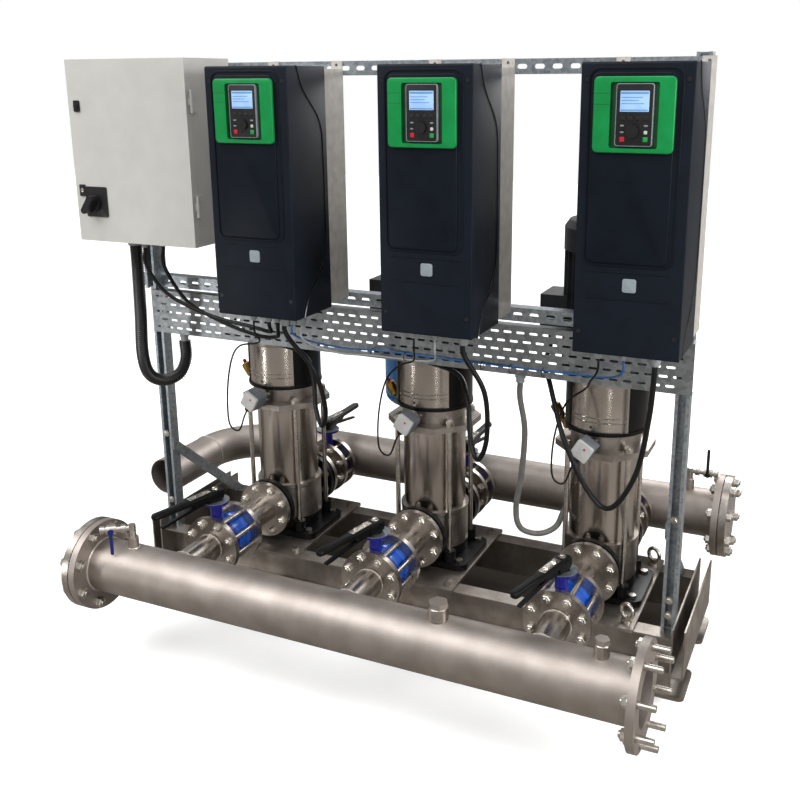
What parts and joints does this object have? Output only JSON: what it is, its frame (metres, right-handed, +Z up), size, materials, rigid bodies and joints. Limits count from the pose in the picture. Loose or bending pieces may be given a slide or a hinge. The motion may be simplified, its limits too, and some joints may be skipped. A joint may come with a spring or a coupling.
{
  "type": "booster pump set",
  "caption": "Vertical multistage pumps on a skid between suction and discharge manifolds, with shut-off valves, wall-frame speed drives and a control cabinet",
  "frame": {"origin": "On the floor, in the middle of the four anchor holes of the skid's feet", "axes": "+X along the manifolds towards the suction inlet, +Y towards the discharge manifold, +Z up"},
  "size_m": [2.1422, 1.4369, 1.87],
  "materials": {
    "stainless": "satin, pickled welds",
    "polished_stainless": "polished sheet and turned steel",
    "galvanised": "zinc-coated strut and sheet",
    "black_cast": "black enamel",
    "blue_cast": "dark blue epoxy",
    "bright_blue": "gloss blue epoxy",
    "tank_blue": "gloss blue paint",
    "motor_grey": "dark grey paint",
    "gasket": "black fibre rubber",
    "brass": "bare brass",
    "sensor_grey": "grey plastic box",
    "drive_navy": "fine grained navy plastic",
    "keypad_green": "green bezel",
    "black_plastic": "black plastic",
    "cabinet_grey": "textured light grey powder coat",
    "gland_grey": "grey plastic",
    "conduit_black": "corrugated black plastic",
    "cable_black": "black cable sheath",
    "cable_blue": "blue cable sheath",
    "lever_black": "black powder coat",
    "handle_blue": "blue sleeve on steel"
  },
  "bodies": {
    "skid": {"base_beams": "stainless", "pump_plates": "stainless", "base_feet": "stainless", "plate_bolts": "polished_stainless", "frame_posts": "galvanised", "cross_struts": "galvanised", "post_braces": "galvanised", "cable_tray": "galvanised", "suction_manifold": "stainless", "discharge_manifold": "stainless", "blind_flanges": "stainless", "flange_gaskets": "gasket", "flange_bolts": "polished_stainless", "pump_feet": "black_cast", "pump_casings": "stainless", "pump_flanges": "black_cast", "pump_sleeves": "polished_stainless", "stage_chambers": "stainless", "tie_rods": "polished_stainless", "motor_brackets": "stainless", "coupling_guards": "polished_stainless", "motors": "motor_grey", "pipe_spools": "stainless", "check_valves": "bright_blue", "valve_bodies": "blue_cast", "air_vents": "brass", "pressure_sensors": "sensor_grey", "pressure_tank": "tank_blue", "ball_valves": "stainless", "drive_chassis": "galvanised", "drive_covers": "drive_navy", "keypads": "keypad_green", "cabinet_body": "cabinet_grey", "cable_glands": "gland_grey", "conduits": "conduit_black", "power_cables": "cable_black", "signal_cables": "cable_blue"},
    "suction_lever_1": {"suction_lever_1": "lever_black"},
    "suction_trigger_1": {"suction_trigger_1": "lever_black"},
    "discharge_lever_1": {"discharge_lever_1": "lever_black"},
    "discharge_trigger_1": {"discharge_trigger_1": "lever_black"},
    "pump_shaft_1": {"pump_shaft_1": "stainless"},
    "keypad_wheel_1": {"keypad_wheel_1": "black_plastic"},
    "suction_lever_2": {"suction_lever_2": "lever_black"},
    "suction_trigger_2": {"suction_trigger_2": "lever_black"},
    "discharge_lever_2": {"discharge_lever_2": "lever_black"},
    "discharge_trigger_2": {"discharge_trigger_2": "lever_black"},
    "pump_shaft_2": {"pump_shaft_2": "stainless"},
    "keypad_wheel_2": {"keypad_wheel_2": "black_plastic"},
    "suction_lever_3": {"suction_lever_3": "lever_black"},
    "suction_trigger_3": {"suction_trigger_3": "lever_black"},
    "discharge_lever_3": {"discharge_lever_3": "lever_black"},
    "discharge_trigger_3": {"discharge_trigger_3": "lever_black"},
    "pump_shaft_3": {"pump_shaft_3": "stainless"},
    "keypad_wheel_3": {"keypad_wheel_3": "black_plastic"},
    "drain_handle": {"drain_handle": "handle_blue"},
    "gauge_handle": {"gauge_handle": "black_plastic"},
    "cabinet_door": {"cabinet_door": "cabinet_grey"},
    "disconnect_handle": {"disconnect_handle": "black_plastic"},
    "door_lock": {"door_lock": "black_plastic"}
  },
  "joints": [
    {"name": "suction_valve_1_turn", "type": "hinge", "parent": "skid", "child": "suction_lever_1", "pos_m": [-0.524, -0.453, 0.49], "axis": [0, 0, 1], "range_deg": [-75, 15]},
    {"name": "suction_trigger_1_squeeze", "type": "hinge", "parent": "suction_lever_1", "child": "suction_trigger_1", "pos_m": [-0.54005, -0.51289, 0.4763], "axis": [-0.9659, 0.2588, 0], "range_deg": [0, 8], "stiffness_Nm_per_rad": 0.5, "springref_deg": -11.46},
    {"name": "discharge_valve_1_turn", "type": "hinge", "parent": "skid", "child": "discharge_lever_1", "pos_m": [-0.524, 0.287, 0.49], "axis": [0, 0, 1], "range_deg": [-90, 0]},
    {"name": "discharge_trigger_1_squeeze", "type": "hinge", "parent": "discharge_lever_1", "child": "discharge_trigger_1", "pos_m": [-0.524, 0.349, 0.4763], "axis": [1, 0, 0], "range_deg": [0, 8], "stiffness_Nm_per_rad": 0.5, "springref_deg": -11.46},
    {"name": "pump_1_spin", "type": "hinge", "parent": "skid", "child": "pump_shaft_1", "pos_m": [-0.524, 0, 0.7], "axis": [0, 0, 1], "continuous": true},
    {"name": "keypad_1_dial", "type": "hinge", "parent": "skid", "child": "keypad_wheel_1", "pos_m": [-0.252, -0.584, 1.687], "axis": [0, 1, 0], "continuous": true},
    {"name": "suction_valve_2_turn", "type": "hinge", "parent": "skid", "child": "suction_lever_2", "pos_m": [0.066, -0.453, 0.49], "axis": [0, 0, 1], "range_deg": [-75, 15]},
    {"name": "suction_trigger_2_squeeze", "type": "hinge", "parent": "suction_lever_2", "child": "suction_trigger_2", "pos_m": [0.04995, -0.51289, 0.4763], "axis": [-0.9659, 0.2588, 0], "range_deg": [0, 8], "stiffness_Nm_per_rad": 0.5, "springref_deg": -11.46},
    {"name": "discharge_valve_2_turn", "type": "hinge", "parent": "skid", "child": "discharge_lever_2", "pos_m": [0.066, 0.287, 0.49], "axis": [0, 0, 1], "range_deg": [-90, 0]},
    {"name": "discharge_trigger_2_squeeze", "type": "hinge", "parent": "discharge_lever_2", "child": "discharge_trigger_2", "pos_m": [0.066, 0.349, 0.4763], "axis": [1, 0, 0], "range_deg": [0, 8], "stiffness_Nm_per_rad": 0.5, "springref_deg": -11.46},
    {"name": "pump_2_spin", "type": "hinge", "parent": "skid", "child": "pump_shaft_2", "pos_m": [0.066, 0, 0.7], "axis": [0, 0, 1], "continuous": true},
    {"name": "keypad_2_dial", "type": "hinge", "parent": "skid", "child": "keypad_wheel_2", "pos_m": [0.286, -0.584, 1.687], "axis": [0, 1, 0], "continuous": true},
    {"name": "suction_valve_3_turn", "type": "hinge", "parent": "skid", "child": "suction_lever_3", "pos_m": [0.656, -0.453, 0.49], "axis": [0, 0, 1], "range_deg": [-75, 15]},
    {"name": "suction_trigger_3_squeeze", "type": "hinge", "parent": "suction_lever_3", "child": "suction_trigger_3", "pos_m": [0.63995, -0.51289, 0.4763], "axis": [-0.9659, 0.2588, 0], "range_deg": [0, 8], "stiffness_Nm_per_rad": 0.5, "springref_deg": -11.46},
    {"name": "discharge_valve_3_turn", "type": "hinge", "parent": "skid", "child": "discharge_lever_3", "pos_m": [0.656, 0.287, 0.49], "axis": [0, 0, 1], "range_deg": [-90, 0]},
    {"name": "discharge_trigger_3_squeeze", "type": "hinge", "parent": "discharge_lever_3", "child": "discharge_trigger_3", "pos_m": [0.656, 0.349, 0.4763], "axis": [1, 0, 0], "range_deg": [0, 8], "stiffness_Nm_per_rad": 0.5, "springref_deg": -11.46},
    {"name": "pump_3_spin", "type": "hinge", "parent": "skid", "child": "pump_shaft_3", "pos_m": [0.656, 0, 0.7], "axis": [0, 0, 1], "continuous": true},
    {"name": "keypad_3_dial", "type": "hinge", "parent": "skid", "child": "keypad_wheel_3", "pos_m": [0.824, -0.584, 1.687], "axis": [0, 1, 0], "continuous": true},
    {"name": "drain_valve_turn", "type": "hinge", "parent": "skid", "child": "drain_handle", "pos_m": [-0.69079, -0.76056, 0.46815], "axis": [0.5736, -0.8191, 0], "range_deg": [0, 90]},
    {"name": "gauge_valve_turn", "type": "hinge", "parent": "skid", "child": "gauge_handle", "pos_m": [0.922, 0.427, 0.46815], "axis": [0, 1, 0], "range_deg": [0, 90]},
    {"name": "cabinet_door_swing", "type": "hinge", "parent": "skid", "child": "cabinet_door", "pos_m": [-0.491, -0.4852, 1.59], "axis": [0, 0, 1], "range_deg": [0, 95]},
    {"name": "disconnect_turn", "type": "hinge", "parent": "cabinet_door", "child": "disconnect_handle", "pos_m": [-0.874, -0.503, 1.434], "axis": [0, 1, 0], "range_deg": [0, 90]},
    {"name": "door_lock_turn", "type": "hinge", "parent": "cabinet_door", "child": "door_lock", "pos_m": [-0.91, -0.503, 1.731], "axis": [0, 1, 0], "range_deg": [0, 90]}
  ]
}
